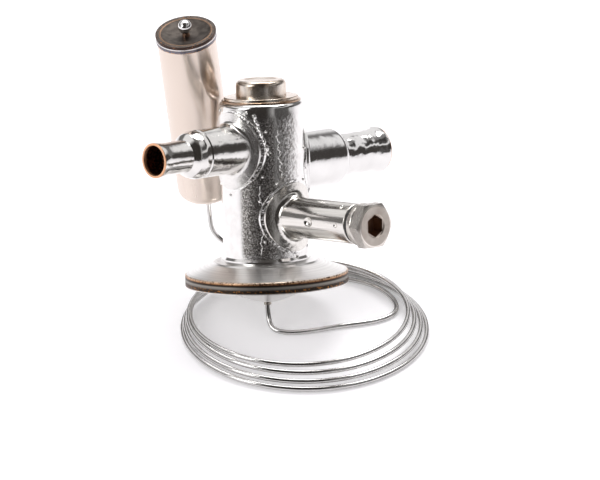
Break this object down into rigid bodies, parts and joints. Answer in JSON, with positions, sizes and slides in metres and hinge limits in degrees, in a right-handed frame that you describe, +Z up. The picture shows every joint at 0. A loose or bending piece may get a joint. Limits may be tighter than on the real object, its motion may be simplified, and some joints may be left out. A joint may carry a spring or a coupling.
{
  "type": "thermostatic expansion valve",
  "caption": "Steel expansion valve with soldering sockets, diaphragm head, side setting stem with hexagon cap, sensing bulb and a coiled capillary tube.",
  "frame": {"origin": "middle of the coil's footprint, on the surface that the coil lies on", "axes": "+Z up from that surface, +X to the outlet's side and +Y to the bulb's side, so the setting stem points towards +X and -Y; the valve leans back 20 degrees from +Z"},
  "size_m": [0.0942, 0.1014, 0.0958],
  "materials": {
    "stainless_steel": "polished drawn stainless steel",
    "bright_steel": "bright turned steel",
    "warm_steel": "turned steel with a warm brazing tint",
    "copper_lining": "copper lining of the soldering sockets",
    "capillary_steel": "drawn thin tube",
    "bulb_steel": "satin drawn shell",
    "tinned_disc": "dark tinned disc",
    "ground_steel": "ground hexagon",
    "seal_rubber": "black seal"
  },
  "bodies": {
    "valve": {"valve_body": "stainless_steel", "head_lower_shell": "stainless_steel", "capillary_collar": "capillary_steel", "diaphragm": "stainless_steel", "head_support_ring": "bright_steel", "head_upper_shell": "stainless_steel", "closure_plug": "warm_steel", "closure_button": "bright_steel", "inlet_socket": "stainless_steel", "inlet_copper_liner": "copper_lining", "inlet_weld_bead": "bright_steel", "inlet_strainer": "stainless_steel", "outlet_socket": "stainless_steel", "outlet_copper_liner": "copper_lining", "outlet_weld_bead": "bright_steel", "stem_housing": "stainless_steel", "stem_weld_bead": "bright_steel", "spindle_bush": "warm_steel", "spindle_seal_ring": "seal_rubber", "gear_retainer": "stainless_steel", "pin_guide": "warm_steel", "orifice_block": "warm_steel", "pin_packing": "seal_rubber", "superheat_spring": "stainless_steel", "bulb_shell": "bulb_steel", "bulb_rim_ring": "bright_steel", "bulb_end_disc": "tinned_disc", "fill_neck": "bright_steel", "capillary_coil": "capillary_steel", "capillary_lead_head": "capillary_steel", "capillary_lead_bulb": "capillary_steel"},
    "push_rod": {"thrust_plate": "stainless_steel", "push_pin": "stainless_steel", "valve_cone": "stainless_steel"},
    "setting_stem": {"setting_spindle": "stainless_steel"},
    "crown": {"crown_gear": "warm_steel"},
    "seat": {"spring_seat": "warm_steel"},
    "seal": {"cap_seal": "seal_rubber"},
    "cap": {"hex_cap": "ground_steel"}
  },
  "joints": [
    {"name": "valve_stroke", "type": "slide", "parent": "valve", "child": "push_rod", "axis": [-0.0311, 0.3502, 0.9362], "range_m": [0, 0.0008], "stiffness_N_per_m": 5000, "springref_m": -0.004, "deforming": ["diaphragm", "superheat_spring"]},
    {"name": "crown_turn", "type": "hinge", "parent": "valve", "child": "crown", "pos_m": [-0.01263, 0.01031, 0.03036], "axis": [-0.0311, 0.3502, 0.9362], "range_deg": [-240, 240]},
    {"name": "setting_turn", "type": "hinge", "parent": "valve", "child": "setting_stem", "pos_m": [-0.01282, 0.01244, 0.03604], "axis": [0.6872, -0.6726, 0.2744], "range_deg": [-721, 721]},
    {"name": "seat_travel", "type": "slide", "parent": "valve", "child": "seat", "axis": [-0.0311, 0.3502, 0.9362], "range_m": [-0.00067, 0.00067], "deforming": ["superheat_spring"]},
    {"name": "cap_lift", "type": "slide", "parent": "valve", "child": "seal", "axis": [0.6872, -0.6726, 0.2744], "range_m": [0, 0.0025]},
    {"name": "cap_turn", "type": "hinge", "parent": "seal", "child": "cap", "pos_m": [0.01879, -0.01851, 0.04866], "axis": [0.6872, -0.6726, 0.2744], "range_deg": [0, 900]}
  ],
  "couplings": [
    {"joint": "setting_turn", "follows": "crown_turn", "ratio": 3},
    {"joint": "seat_travel", "follows": "crown_turn", "m_per_rad": 0.00015915},
    {"joint": "cap_lift", "follows": "cap_turn", "m_per_rad": 0.00015915}
  ]
}
